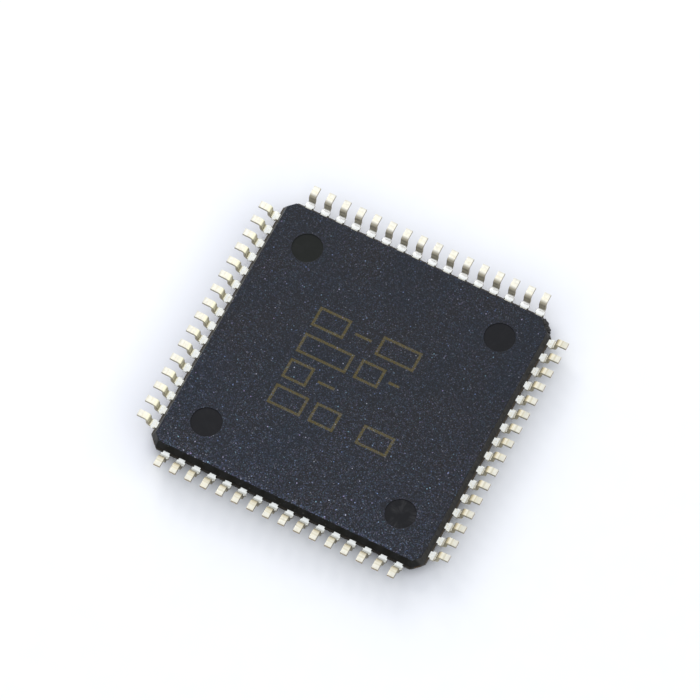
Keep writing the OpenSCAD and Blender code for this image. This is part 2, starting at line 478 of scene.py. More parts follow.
@dataclass(frozen=True)
class MouldedEpoxy(Finish):
    """Moulding compound: matte faces full of bright filler, smooth dark walls, a brownish parting line, with
    painted glints and painted light and shade.
    """

    name: str = "moulded_epoxy"
    height: float = 1.0
    half_w: float = 7.0
    edge_h: float = 0.014
    edge_soft: float = 0.016
    # Width of the painted glint along the near edge.
    glint_edge_w: float = 0.33
    wall_w: float = 0.4
    parting_h: float = 0.2
    parting_soft: float = 0.06
    relief: float = 0.004
    cool: Colour = shade(21, 25, 32)
    warm: Colour = shade(24, 24, 27)
    bleached: Colour = shade(79, 70, 36)
    wall: Colour = shade(17, 17, 14)
    # Painted light: colour of the lighter left and right walls.
    lit_wall: Colour = shade(51, 50, 48)
    streak: Colour = shade(28, 27, 25)
    parting: Colour = shade(78, 70, 58)
    gloss: float = 0.14
    mark: LaserMark = LaserMark()
    sparkles: Tuple[Sparkle, ...] = (
        Sparkle(per_mm=20.0, share=1.0, grain=0.55, strength=0.11, tints=FILLER_TINTS),
        Sparkle(per_mm=15.0, share=0.38, grain=0.38, strength=0.22, tints=FILLER_TINTS),
        Sparkle(per_mm=10.0, share=0.09, grain=0.27, strength=0.75, tints=FILLER_TINTS),
    )
    wall_grains: Sparkle = Sparkle(
        per_mm=12.0,
        share=0.12,
        grain=0.35,
        strength=0.5,
        tints=((0.0, shade(70, 76, 90)), (1.0, shade(120, 117, 110))),
    )

    def face(self, graph: Graph, place: Value, mark: Value, grain: Value) -> Value:
        """Mixes the faces' colour.

        Args:
            graph: Graph of the finish.
            place: Place in millimetres.
            mark: 1 where the laser has been.
            grain: Fine noise.

        Returns:
            The colour with its filler, the laser mark, and painted glints that grow towards the near side and
            along the near edge.
        """
        _, y, _ = graph.axes(place)
        drift = graph.step(graph.cloud(place, 0.45, 3.0), 0.5, 0.35)
        colour = graph.layers(self.cool, [
            (drift, self.warm),
            (mark * graph.step(grain, 0.42, 0.3), self.bleached),
        ])
        # Painted glints: the filler sparkles more towards the near side and along the near edge.
        near_glint = graph.step(y, -3.0, -8.0)
        near_rim_glint = graph.step(y, self.glint_edge_w - self.half_w, -0.12)
        busy = 0.65 + near_glint * 0.6 + drift * 0.25 + near_rim_glint * 1.5
        for sparkle in self.sparkles:
            colour = sparkle.add(graph, place, colour, busy)
        return colour

    def walls(self, graph: Graph, place: Value, streaks: Value) -> Value:
        """Mixes the walls' colour.

        Args:
            graph: Graph of the finish.
            place: Place in millimetres.
            streaks: Upright streaks that the mould has drawn.

        Returns:
            The colour with its streaks, a few grains, the parting line, and painted light on the left and
            right walls.
        """
        x, y, z = graph.axes(place)
        # Painted light: the left and right walls are painted lighter than the near and far walls.
        left = graph.step(x, self.wall_w - self.half_w, -0.1)
        right = graph.step(x, self.half_w - self.wall_w, 0.1) * graph.step(y, 0.3 - self.half_w, 0.1)
        colour = graph.layers(self.wall, [
            (graph.math("MAXIMUM", left, right), self.lit_wall),
            (graph.step(streaks, 0.58, 0.25) * 0.7, self.streak),
        ])
        colour = self.wall_grains.add(graph, place, colour)
        # The brownish parting line is painted lighter than the compound, partly as painted light, and kept
        # faint along the near side as painted shade.
        brown = 0.8 - graph.step(y, 0.5 - self.half_w, -0.3) * 0.6
        line = graph.band(z, self.height / 2.0, self.parting_h / 2.0, self.parting_soft)
        return graph.mix(line * brown, colour, self.parting)

    def paint(self, graph: Graph) -> None:
        """Blends from the faces to the walls over the rounded edges.

        Args:
            graph: Graph of the finish.
        """
        place = graph.place()
        x, y, z = graph.axes(place)
        half = self.height / 2.0
        on_wall = graph.step(half - abs(z - half), self.edge_h, self.edge_soft)
        streaks = graph.cloud(graph.join(x, y, z * 0.15), 9.0, 3.0)
        grain = graph.cloud(place, 22.0, 2.0)
        mark = self.mark.mask(graph, x, y) * graph.step(z, half, 0.1)
        face = self.face(graph, place, mark, grain)
        face_rough = 0.5 + (grain - 0.5) * 0.2 + mark * 0.15
        wall_rough = 0.36 + streaks * 0.2
        relief = (grain - mark * 0.6) * (1.0 - on_wall) + streaks * on_wall
        graph.surface({
            "Base Color": graph.mix(on_wall, face, self.walls(graph, place, streaks)),
            "Roughness": face_rough * (1.0 - on_wall) + wall_rough * on_wall,
            "Specular IOR Level": self.gloss,
            "Normal": graph.bump(relief, self.relief),
        })


@dataclass(frozen=True)
class PinMarkEpoxy(Finish):
    """Floor of an ejector-pin mark: smooth and almost black, with the pin's turning marks and scuffs."""

    name: str = "pin_mark_epoxy"
    dark: Colour = shade(14, 15, 19)
    green: Colour = shade(15, 18, 16)
    scuffed: Colour = shade(48, 48, 50)
    mark_at: float = 5.0
    gloss: float = 0.13
    relief: float = 0.0015

    def paint(self, graph: Graph) -> None:
        """Draws the turning marks about each mark's own middle, and scuffs over them.

        Args:
            graph: Graph of the finish.
        """
        place = graph.place()
        x, y, _ = graph.axes(place)
        across, along = abs(x) - self.mark_at, abs(y) - self.mark_at
        reach = graph.math("SQRT", across * across + along * along)
        rings = graph.cloud(graph.join(reach, 0.0, 0.0), 26.0, 2.0)
        turn = graph.math("ARCTAN2", along, across)
        spokes = graph.cloud(graph.join(turn * 5.0, reach * 0.6, 0.0), 1.6, 2.0)
        drift = graph.step(x - y, -self.mark_at, 6.0)
        handled = 0.25 + graph.step(x - y, self.mark_at, 4.0)
        scuffs = graph.step(graph.cloud(place, 2.2, 4.0), 0.55, 0.2) * handled
        colour = graph.layers(self.green, [
            (drift, self.dark),
            (scuffs * graph.step(spokes, 0.5, 0.3) * 0.5, self.scuffed),
        ])
        graph.surface({
            "Base Color": colour,
            "Roughness": 0.42 + rings * 0.12 + scuffs * 0.1,
            "Specular IOR Level": self.gloss,
            "Normal": graph.bump(rings + spokes * 0.5, self.relief),
        })


@dataclass(frozen=True)
class BrokenEpoxy(Finish):
    """Compound where the gate was broken off: coarse, dark, with light filler grains laid bare."""

    name: str = "broken_epoxy"
    dark: Colour = shade(19, 19, 20)
    grey: Colour = shade(62, 60, 57)
    gloss: float = 0.35
    relief: float = 0.02
    grains: Sparkle = Sparkle(
        per_mm=16.0,
        share=0.14,
        grain=0.4,
        strength=0.9,
        tints=((0.0, shade(120, 118, 112)), (1.0, shade(226, 226, 222))),
    )

    def paint(self, graph: Graph) -> None:
        """Mixes coarse tones and bare grains.

        Args:
            graph: Graph of the finish.
        """
        place = graph.place()
        coarse = graph.cloud(place, 9.0, 4.0)
        colour = graph.mix(graph.step(coarse, 0.56, 0.2), self.dark, self.grey)
        graph.surface({
            "Base Color": self.grains.add(graph, place, colour),
            "Roughness": 0.55 + coarse * 0.3,
            "Specular IOR Level": self.gloss,
            "Normal": graph.bump(coarse, self.relief),
        })


class LeadZones(NamedTuple):
    """Which part of which lead a place is on: its run from the toe, the lead's tone, and masks from 0 to 1."""

    run: Value
    tone: Value
    left: Value
    right: Value
    near: Value
    far: Value
    dimmed_rows: Value
    sole: Value
    contact: Value
    lit_left_heel: Value
    riser: Value
    shoulder: Value
    flank: Value
    lit_stub_end: Value


@dataclass(frozen=True)
class MatteTin(Finish):
    """Matte tin plate on the leads, creamy on the soles and gone from the sheared toes, with painted shade on
    the flanks, risers and some soles, and painted highlights.

    Places along a lead are millimetres of its path from the toe.
    """

    name: str = "matte_tin"
    bright: Colour = (0.83, 0.845, 0.81, 1.0)
    # Colour of the painted highlights on the far shoulders and the stub ends.
    painted_highlight: Colour = (0.98, 0.98, 0.95, 1.0)
    cream: Colour = (0.78, 0.76, 0.67, 1.0)
    dull: Colour = (0.40, 0.395, 0.34, 1.0)
    yellow: Colour = (0.68, 0.62, 0.43, 1.0)
    golden: Colour = (0.97, 0.92, 0.66, 1.0)
    olive: Colour = (0.27, 0.235, 0.15, 1.0)
    shade_brown: Colour = (0.28, 0.245, 0.165, 1.0)
    sheared: Colour = (0.38, 0.31, 0.21, 1.0)
    half_w: float = 7.0
    row_soft: float = 0.2
    bare_l: float = 0.0008
    toe_l: float = 0.06
    contact_at: float = 0.25
    contact_half: float = 0.03
    contact_drift: float = 0.06
    foot_l: float = 0.37
    foot_past: float = 0.05
    foot_soft: float = 0.16
    riser_from: float = 0.42
    riser_mid: float = 0.84
    riser_to: float = 0.96
    riser_soft: float = 0.22
    left_later: float = 0.17
    near_sooner: float = 0.045
    right_sooner: float = 0.035
    right_longer: float = 0.19
    shoulder_from: float = 1.05
    right_edge_shade_at: float = 1.062
    near_edge_shade_at: float = 1.12
    stub_from: float = 1.09
    stub_to: float = 1.2
    right_stub: float = 0.2
    mottled_from: float = 1.17
    far_highlight_to: float = 1.2
    root_from: float = 1.305
    flank_from: float = 0.95
    line_half: float = 0.05
    line_soft: float = 0.05
    soft: float = 0.1
    relief: float = 0.003

    def zones(self, graph: Graph, place: Value) -> LeadZones:
        """Tells the parts of the leads apart.

        Args:
            graph: Graph of the finish.
            place: Place in millimetres.

        Returns:
            The zones.
        """
        x, y, _ = graph.axes(place)
        run, tone = graph.attribute(LeadMark.TOE_RUN), graph.attribute(LeadMark.TONE)
        left, right = graph.step(x, -self.half_w, -self.row_soft), graph.step(x, self.half_w, self.row_soft)
        near, far = graph.step(y, -self.half_w, -self.row_soft), graph.step(y, self.half_w, self.row_soft)
        sole = graph.step(run, self.foot_l + self.foot_past, -self.foot_soft)
        drift = (tone - 0.5) * self.contact_drift
        contact = graph.band(run - self.contact_at, drift, self.contact_half, self.line_soft)
        shoulder = graph.step(run, self.shoulder_from, self.soft)
        # Where the painted shade of the risers starts, shifted row by row.
        turned = run - left * self.left_later + near * self.near_sooner + right * self.right_sooner
        bent = graph.step(turned, self.riser_from, self.soft)
        heel = graph.step(run, self.riser_from, self.soft)
        flank = graph.step(graph.attribute(LeadMark.EDGE), self.flank_from, 0.06)
        past_stub = graph.step(run - right * self.right_stub, self.stub_to, -0.06)
        stub = graph.step(run, self.stub_from, 0.04) * past_stub
        return LeadZones(
            run=run,
            tone=tone,
            left=left,
            right=right,
            near=near,
            far=far,
            # Painted shade: the right row's soles, and less so the near row's, are painted duller.
            dimmed_rows=right + near * 0.7,
            sole=sole,
            contact=contact * sole,
            lit_left_heel=left * heel * (1.0 - shoulder),
            riser=bent * graph.step(run - right * self.right_longer, self.riser_to, -self.riser_soft),
            shoulder=shoulder,
            flank=flank,
            # Painted highlight on the ends of the dam-bar stubs, mostly on the left row.
            lit_stub_end=flank * stub * (left + right * 0.3),
        )

    def colour(self, graph: Graph, place: Value, zone: LeadZones) -> Value:
        """Lays the colours of the parts over each other.

        Args:
            graph: Graph of the finish.
            place: Place in millimetres.
            zone: Zones of the leads.

        Returns:
            The colour of the plate, with its painted light and shade.
        """
        run, tone, left, right = zone.run, zone.tone, zone.left, zone.right
        stain = graph.step(graph.cloud(place, 3.4, 3.0), 0.55, 0.25)
        worn = graph.step(graph.cloud(place, 9.0, 2.0), 0.52, 0.25)
        right_heel = right * graph.band(run, self.foot_l, self.line_half, self.line_soft)
        # Painted shade on the soles of the right and near rows.
        dimmed_soles = zone.sole * zone.dimmed_rows * (0.6 + tone * 0.4) * (1.0 - right_heel * 0.7)
        behind = zone.sole * graph.step(run, self.contact_at, 0.06)
        toe = zone.sole * graph.step(run, self.toe_l, -0.08)
        mottled = graph.step(run, self.mottled_from, 0.06) * worn * (left + right)
        # Painted highlight on the far row's shoulders.
        far_highlight = zone.far * graph.step(run, self.far_highlight_to, -self.soft)
        # Painted shadow at the root of the far row's shoulders, next to the body.
        far_root_shadow = zone.far * graph.step(run, self.root_from, 0.05)
        # Painted shade on the outer end of the right and near rows' shoulders, next to the bend.
        right_edge_shade = right * graph.band(run, self.right_edge_shade_at, 0.035, 0.04)
        near_edge_shade = zone.near * graph.band(run, self.near_edge_shade_at, self.line_half, self.line_soft)
        # Painted shade: the risers are darkened to olive, the left row's towards yellow, and the right row's
        # upper risers less.
        shaded = zone.riser * (0.86 + right * (0.1 - graph.step(run, self.riser_mid, 0.12) * 0.65))
        return graph.layers(self.bright, [
            (far_highlight, self.painted_highlight),
            (zone.sole, self.cream),
            (dimmed_soles * (0.6 + graph.step(run, 0.2, 0.4) * 0.4), self.dull),
            (behind * 0.22, self.yellow),
            (toe * (0.4 - zone.dimmed_rows * 0.3), self.dull),
            (stain * (1.0 - zone.shoulder) * (0.1 + tone * 0.25), self.yellow),
            (zone.contact * 0.3, self.yellow),
            (zone.contact * zone.dimmed_rows * 0.4, self.shade_brown),
            (mottled * (0.3 + tone * 0.4), self.yellow),
            (far_root_shadow * 0.95, self.olive),
            (right_edge_shade * 0.75, self.olive),
            (near_edge_shade * 0.75, self.dull),
            (zone.sole * worn * 0.25, self.dull),
            # Painted highlight: the left row's heels are painted bright gold.
            (zone.lit_left_heel, self.golden),
            (shaded, graph.mix(left * 0.7, self.olive, self.yellow)),
            # Painted shade on the flanks of the leads; the right row's riser flanks are painted a lighter
            # yellow.
            (zone.flank * 0.8, graph.mix(right * zone.riser * 0.5, self.shade_brown, self.yellow)),
            # Painted highlight on the stub ends.
            (zone.lit_stub_end, self.painted_highlight),
            (graph.step(run, self.bare_l, -self.bare_l), self.sheared),
        ])

    def paint(self, graph: Graph) -> None:
        """Follows each lead from its toe: bare end, sole with its contact line, riser and shoulder.

        Args:
            graph: Graph of the finish.
        """
        place = graph.place()
        zone = self.zones(graph, place)
        grain = graph.cloud(place, 30.0, 3.0)
        lit_heel = zone.lit_left_heel * (1.0 - zone.riser)
        rough = 0.28 + grain * 0.2 + zone.tone * 0.06 + zone.riser * 0.12
        graph.surface({
            "Base Color": self.colour(graph, place, zone),
            "Metallic": 0.85 - zone.shoulder * 0.3 - lit_heel * 0.3 - zone.lit_stub_end * 0.55,
            "Roughness": rough - zone.shoulder * 0.2 - zone.lit_left_heel * 0.1,
            "Normal": graph.bump((grain - zone.contact) * (1.0 - zone.shoulder * 0.6), self.relief),
        })


@dataclass(frozen=True)
class RolledCopper(Finish):
    """Copper alloy of the lead frame, with the grain of its rolling and brown tarnish."""

    name: str = "rolled_copper"
    clean: Colour = shade(112, 88, 60)
    tarnished: Colour = shade(62, 50, 36)
    relief: float = 0.003

    def paint(self, graph: Graph) -> None:
        """Stretches the grain along the rolling and lays tarnish over it.

        Args:
            graph: Graph of the finish.
        """
        place = graph.place()
        x, y, z = graph.axes(place)
        rolled = graph.cloud(graph.join(x * 0.1, y, z), 24.0, 3.0)
        tarnish = graph.step(graph.cloud(place, 1.8, 3.0), 0.48, 0.3)
        graph.surface({
            "Base Color": graph.mix(tarnish, self.clean, self.tarnished),
            "Metallic": 1.0,
            "Roughness": 0.36 + rolled * 0.2 + tarnish * 0.12,
            "Normal": graph.bump(rolled, self.relief),
        })


@dataclass(frozen=True)
class SilverAdhesive(Finish):
    """Die-attach adhesive: grey resin packed with silver flakes."""

    name: str = "silver_adhesive"
    resin: Colour = shade(126, 126, 122)
    relief: float = 0.003
    flakes: Sparkle = Sparkle(
        per_mm=40.0,
        share=0.9,
        grain=0.5,
        strength=0.8,
        tints=((0.0, shade(188, 188, 184)), (1.0, shade(236, 236, 232))),
    )

    def paint(self, graph: Graph) -> None:
        """Scatters flakes through the resin.

        Args:
            graph: Graph of the finish.
        """
        place = graph.place()
        swirl = graph.cloud(place, 6.0, 3.0)
        graph.surface({
            "Base Color": self.flakes.add(graph, place, self.resin),
            "Metallic": 0.6,
            "Roughness": 0.3 + swirl * 0.3,
            "Normal": graph.bump(swirl, self.relief),
        })


@dataclass(frozen=True)
class PatternedSilicon(Finish):
    """Silicon die with blocks of circuitry that shift from violet to green."""

    name: str = "patterned_silicon"
    bare: Colour = shade(84, 86, 98)
    tints: Stops = ((0.0, shade(92, 78, 116)), (0.5, shade(78, 96, 112)), (1.0, shade(96, 112, 84)))
    blocks_per_mm: float = 1.6
    tracks_per_mm: float = 9.0
    relief: float = 0.001

    def paint(self, graph: Graph) -> None:
        """Tiles the die with blocks of circuitry and fine tracks.

        Args:
            graph: Graph of the finish.
        """
        place = graph.place()
        inputs = {"Vector": place, "Scale": self.blocks_per_mm}
        blocks = graph.node("ShaderNodeTexVoronoi", {"distance": "CHEBYCHEV"}, inputs, "Color")
        circuit = graph.ramp(self.tints, graph.axes(blocks)[0])
        inputs = {"Vector": place, "Scale": self.tracks_per_mm, "Color1": (1, 1, 1, 1), "Color2": (0, 0, 0, 1)}
        tracks = graph.axes(graph.node("ShaderNodeTexBrick", None, inputs, "Color"))[0]
        graph.surface({
            "Base Color": graph.mix(0.35 + tracks * 0.4, self.bare, circuit),
            "Metallic": 0.7,
            "Roughness": 0.12 + tracks * 0.14,
            "Normal": graph.bump(tracks, self.relief),
        })


@dataclass(frozen=True)
class DrawnGold(Finish):
    """Fine gold wire with the faint lines of its drawing."""

    name: str = "drawn_gold"
    bright: Colour = shade(244, 206, 118)
    deep: Colour = shade(214, 164, 76)
    relief: float = 0.001

    def paint(self, graph: Graph) -> None:
        """Varies the gold's tone along fine lines.

        Args:
            graph: Graph of the finish.
        """
        lines = graph.cloud(graph.place(), 45.0, 2.0)
        graph.surface({
            "Base Color": graph.mix(graph.step(lines, 0.5, 0.3), self.deep, self.bright),
            "Metallic": 1.0,
            "Roughness": 0.16 + lines * 0.16,
            "Normal": graph.bump(lines, self.relief),
        })


@dataclass(frozen=True)
class PaleTable(Finish):
    """White sheet under the chip, with a faint tooth, and painted shade beside the left and the far row."""

    name: str = "pale_table"
    white: Colour = (0.72, 0.733, 0.755, 1.0)
    tooth: Colour = (0.69, 0.703, 0.728, 1.0)
    # Colour of the painted shade.
    grey: Colour = (0.6, 0.617, 0.67, 1.0)
    shadow_from: float = 6.5
    shadow_to: float = 9.1
    shadow_l: float = 7.1
    gloss: float = 0.2

    def shadow_strip(self, graph: Graph, out: Value, along: Value) -> Value:
        """Marks the painted shade beside one row.

        Args:
            graph: Graph of the finish.
            out: Place square to the row.
            along: Distance from the row's middle along it.

        Returns:
            1 beside the row, fading outwards and towards its ends.
        """
        across = graph.step(out, self.shadow_from, 0.5) * graph.step(out, self.shadow_to, -2.6)
        return across * graph.step(along, self.shadow_l, -4.0)

    def paint(self, graph: Graph) -> None:
        """Gives the sheet its tooth and its strips of painted shade.

        Args:
            graph: Graph of the finish.
        """
        place = graph.place()
        x, y, _ = graph.axes(place)
        fibre = graph.cloud(place, 0.8, 4.0)
        # Painted shade on the sheet beside the left and the far row.
        left = self.shadow_strip(graph, 0.0 - x, abs(y))
        far = self.shadow_strip(graph, y, abs(x))
        sheet = graph.mix(graph.step(fibre, 0.55, 0.4) * 0.4, self.white, self.tooth)
        graph.surface({
            "Base Color": graph.mix(graph.math("MAXIMUM", left, far * 0.6), sheet, self.grey),
            "Roughness": 0.75,
            "Specular IOR Level": self.gloss,
        })


class Workshop:
    """Makes finished objects out of meshes that were drawn in millimetres."""

    @staticmethod
    def link(name: str, data: bpy.types.ID) -> bpy.types.Object:
        """Puts an object into the scene.

        Args:
            name: Name of the object.
            data: Its mesh, light or camera.

        Returns:
            The object.
        """
        made = bpy.data.objects.new(name, data)
        bpy.context.scene.collection.objects.link(made)
        return made

    @staticmethod
    def tube(first: int, rings: int, count: int) -> List[List[int]]:
        """Lists the faces of a closed tube of rings.

        Args:
            first: Place of its first corner in the list of corners.
            rings: Number of rings.
            count: Number of corners in a ring.

        Returns:
            Its two ends and its walls, as places in the list of corners.
        """
        last = first + (rings - 1) * count
        faces = [list(range(first, first + count)), list(range(last, last + count))]
        for below in range(first, last, count):
            for step in range(count):
                beside = (step + 1) % count
                faces.append([below + step, below + beside, below + count + beside, below + count + step])
        return faces

    @staticmethod
    def mesh(name: str, corners: List[Vector], faces: List[List[int]]) -> bpy.types.Mesh:
        """Makes a closed mesh whose faces point outwards.

        Args:
            name: Name of the mesh.
            corners: Its corners in millimetres.
            faces: Its faces, as places in the list of corners.

        Returns:
            The mesh.
        """
        made = bpy.data.meshes.new(name)
        made.from_pydata(corners, [], faces)
        shell = bmesh.new()
        shell.from_mesh(made)
        bmesh.ops.recalc_face_normals(shell, faces=shell.faces)
        shell.to_mesh(made)
        shell.free()
        return made

    @staticmethod
    def even(draft: bpy.types.Object, keep_sharp: bool) -> None:
        """Lets the large faces of a draft lead its shading.

        Args:
            draft: Object that gets the modifier.
            keep_sharp: Whether sharp edges stay sharp.
        """
        weighted = draft.modifiers.new("even", "WEIGHTED_NORMAL")
        weighted.weight = EVEN_WEIGHT
        weighted.keep_sharp = keep_sharp

    @staticmethod
    def finish(draft: bpy.types.Object, name: str, slot: Slot) -> bpy.types.Object:
        """Turns a draft with live modifiers to a plain piece in metres, which rides on the chip.

        Args:
            draft: Object with the modifiers. It is removed.
            name: Name of the piece.
            slot: Not used.

        Returns:
            The finished piece.
        """
        bpy.context.view_layer.update()
        shown = draft.evaluated_get(bpy.context.evaluated_depsgraph_get())
        mesh = bpy.data.meshes.new_from_object(shown)
        mesh.name = name
        mesh.transform(Matrix.Scale(MM, 4))
        bpy.data.objects.remove(draft)
        piece = Workshop.link(name, mesh)
        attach(piece, BODY)
        LOG.info("%s: %d faces", name, len(mesh.polygons))
        return piece


@dataclass
class MouldedBody:
    """The moulded block: drafted walls, cut corners, four pin marks and the dimple beside the first lead."""

    half_w: float
    height: float
    band_h: float = 0.2
    draft: float = math.radians(24.0)
    corner_cut: float = 0.4
    gate_cut: float = 0.7
    tie_proud: float = 0.012
    ledge_out: float = 0.064
    ledge_h: float = 0.13
    ledge_r: float = 0.012
    mark_pitch: float = 10.0
    mark_d: float = 1.49
    mark_depth: float = 0.025
    dimple_d: float = 1.0
    dimple_depth: float = 0.1
    dimple_in: float = 1.6
    edge_r: float = 0.05
    corner_r: float = 0.05
    rim_r: float = 0.022
    rim_past: float = 0.1
    rim_steps: int = 4
    edge_steps: int = 4
    corner_steps: int = 4
    round_steps: int = 72

    def profile(self) -> List[Tuple[float, float]]:
        """Draws the section of a wall.

        Returns:
            Height and inset of each outline, from the rounded edge of the top face to that of the underside.
        """
        slope = math.tan(self.draft)
        low = (self.height - self.band_h) / 2.0
        full = low * slope
        tangent = self.edge_r * math.tan((QUARTER - self.draft) / 2.0)
        start = Vector((0.0, full + tangent))
        end = Vector((tangent * math.cos(self.draft), full - tangent * math.sin(self.draft)))
        half = [(spot.x, spot.y) for spot in rounded(start, Vector((0.0, full)), end, self.edge_steps)]
        ledge = (self.height - self.ledge_h) / 2.0
        half += [(low, 0.0), (ledge, 0.0), (ledge, self.ledge_r - self.ledge_out)]
        half.append((ledge + self.ledge_r, -self.ledge_out))
        return half + [(self.height - z, inset) for z, inset in reversed(half)]

    def corner_reach(self, cut: float, inset: float) -> float:
        """Distance of a cut corner from the middle of the body."""
        return (2.0 * self.half_w - cut) / math.sqrt(2.0) - self.tie_proud - max(inset, 0.0)

    def ring(self, z: float, inset: float) -> List[Vector]:
        """Draws an outline of the body.

        Args:
            z: Height of the outline.
            inset: How far it stands in from the band.

        Returns:
            Its points, with every corner rounded a little.
        """
        side = self.half_w - inset
        corners = []
        for turn in range(4):
            reach = self.corner_reach(self.corner_cut if turn else self.gate_cut, inset)
            short = reach * math.sqrt(2.0) - side
            quarter = Matrix.Rotation(turn * QUARTER, 3, "Z")
            corners += [quarter @ Vector((side, short, z)), quarter @ Vector((short, side, z))]
        points = []
        back = self.corner_r * math.tan(QUARTER / 4.0)
        for place, corner in enumerate(corners):
            before = corner + (corners[place - 1] - corner).normalized() * back
            after = corner + (corners[(place + 1) % len(corners)] - corner).normalized() * back
            points += rounded(before, corner, after, self.corner_steps)
        return points

    def block(self) -> bpy.types.Mesh:
        """Joins the outlines from the top face to the underside.

        Returns:
            The block without its marks.
        """
        rings = [self.ring(z, inset) for z, inset in self.profile()]
        faces = Workshop.tube(0, len(rings), len(rings[0]))
        return Workshop.mesh("block", [point for ring in rings for point in ring], faces)

    def tool(self, width: float, depth: float) -> List[Tuple[float, float]]:
        """Draws the section of a round tool that flares at the face, so that its mark gets a soft rim.

        Args:
            width: Diameter of the mark.
            depth: Depth of the mark.

        Returns:
            Radius and height of each outline, from the floor of the mark to the tool's end outside the body.
        """
        floor_r, end_r = width / 2.0 - self.rim_r, width / 2.0 + self.rim_r
        section = [(floor_r, -depth)]
        for step in range(self.rim_steps + 1):
            turn = step / self.rim_steps * QUARTER
            radius = floor_r + self.rim_r * (1.0 - math.cos(turn))
            section.append((radius, self.rim_r * (math.sin(turn) - 1.0)))
        return section + [(end_r, self.rim_past * self.rim_r), (end_r, depth)]

    def cutters(self) -> bpy.types.Mesh:
        """Draws the tools that sink the pin marks and the dimple.

        Returns:
            One mesh of five round tools.
        """
        half = self.mark_pitch / 2.0
        dimple = self.half_w - self.dimple_in
        mark = (self.height, 1.0, self.mark_d, self.mark_depth)
        sinks = [(x, y, *mark) for x in (-half, half) for y in (-half, half)]
        sinks.append((-dimple, dimple, 0.0, -1.0, self.dimple_d, self.dimple_depth))
        corners, faces = [], []
        for x, y, z, up, width, depth in sinks:
            section = self.tool(width, depth)
            faces += Workshop.tube(len(corners), len(section), self.round_steps)
            for radius, height in section:
                for step in range(self.round_steps):
                    turn = 2.0 * math.pi * step / self.round_steps
                    spot = (x + radius * math.cos(turn), y + radius * math.sin(turn), z + up * height)
                    corners.append(Vector(spot))
        return Workshop.mesh("cutters", corners, faces)

    def build(self) -> bpy.types.Object:
        """Sinks the marks into the block.

        Returns:
            The finished body, which stands for its CAD node.
        """
        draft = Workshop.link("body_draft", self.block())
        tools = Workshop.link("mark_tools", self.cutters())
        sink = draft.modifiers.new("sink", "BOOLEAN")
        sink.operation = "DIFFERENCE"
        sink.solver = "EXACT"
        sink.object = tools
        draft.data.shade_smooth()
        Workshop.even(draft, keep_sharp=False)
        piece = Workshop.finish(draft, "moulded_body", Slot.MOULDING)
        bpy.data.objects.remove(tools)
        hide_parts("mould_body")
        self.dress(piece)
        return piece

    def dress(self, piece: bpy.types.Object) -> None:
        """Gives the body and the floors of its pin marks their finishes.

        Args:
            piece: The finished body.
        """
        half = self.mark_pitch / 2.0
        compound = MouldedEpoxy(height=self.height, half_w=self.half_w)
        piece.data.materials.clear()
        for finish in (compound, PinMarkEpoxy(mark_at=half)):
            piece.data.materials.append(finish.material())
        for face in piece.data.polygons:
            x, y, z = face.center / MM
            from_mark = math.hypot(abs(x) - half, abs(y) - half)
            if from_mark < self.mark_d / 2.0 and z > self.height / 2.0:
                face.material_index = 1


@dataclass
class GateStub:
    """Broken stub of the moulding gate on one corner of the body."""

    body: MouldedBody
    width: float = 0.7
    out: float = 0.15
    height: float = 0.35
    root: float = 0.3
    teeth: Tuple[float, ...] = (0.3, 1.0, 0.5, 0.8, 0.2)
    taper: float = 0.75
    rough: float = 0.035
    crumbs_along: float = 9.0
    crumbs_up: float = 4.5
    crumb_seed: float = 3.7
    crumb_fall: float = 0.9
    crumb_gap: float = 2.0
    crumb_layers: int = 4
    steps_along: int = 42
    steps_up: int = 18

    def tooth(self, along: float) -> float:
        """Height of the broken edge.

        Args:
            along: Place along the stub from 0 to 1.

        Returns:
            The height as a part of the highest tooth.
        """
        spot = along * (len(self.teeth) - 1)
        first = min(int(spot), len(self.teeth) - 2)
        return self.teeth[first] + (self.teeth[first + 1] - self.teeth[first]) * (spot - first)

    def corner(self, step: int, up: int, broken: bool) -> Vector:
        """Places a corner of the stub.

        Args:
            step: Its step along the stub.
            up: Its step up the stub.
            broken: Whether it is on the broken face, and not on the one inside the body.

        Returns:
            Its place in millimetres, before the stub is turned to its corner of the body.
        """
        along, high = step / self.steps_along, up / self.steps_up
        spot = Vector((along * self.crumbs_along, high * self.crumbs_up, self.crumb_seed))
        crumb = noise.fractal(spot, self.crumb_fall, self.crumb_gap, self.crumb_layers) * self.rough
        stand = self.out * self.tooth(along) * (1.0 - self.taper * high * high) + crumb
        y = self.body.corner_reach(self.body.gate_cut, 0.0) + (min(stand, self.out) if broken else -self.root)
        z = self.body.height / 2.0 + self.height * high - (abs(crumb) if up == self.steps_up else 0.0)
        return Vector(((along - 0.5) * self.width, y, z))

    def rim(self, row: int) -> List[int]:
        """Goes around the edge of the stub's first face.

        Args:
            row: Number of corners in a row.

        Returns:
            The corners of the edge in order, as places in the list of corners.
        """
        edge = [*range(row)]
        edge += [up * row + row - 1 for up in range(1, self.steps_up + 1)]
        edge += [self.steps_up * row + step for step in reversed(range(row - 1))]
        return edge + [up * row for up in reversed(range(1, self.steps_up))]

    def build(self) -> bpy.types.Object:
        """Breaks the stub's face into teeth and crumbs.

        Returns:
            The finished stub.
        """
        turn = Matrix.Rotation(-QUARTER / 2.0, 3, "Z")
        row, rows = self.steps_along + 1, self.steps_up + 1
        grid = [(step, up, broken) for broken in (False, True) for up in range(rows) for step in range(row)]
        corners, faces = [turn @ self.corner(*spot) for spot in grid], []
        count = row * rows
        for up in range(self.steps_up):
            for step in range(self.steps_along):
                near = up * row + step
                sheet = [near, near + 1, near + row + 1, near + row]
                faces += [sheet, [corner + count for corner in sheet]]
        rim = self.rim(row)
        for corner, beside in zip(rim, rim[1:] + rim[:1]):
            faces.append([corner, beside, beside + count, corner + count])
        draft = Workshop.link("stub_draft", Workshop.mesh("stub", corners, faces))
        piece = Workshop.finish(draft, "gate_stub", Slot.MOULDING)
        piece.data.materials.append(BrokenEpoxy().material())
        return piece


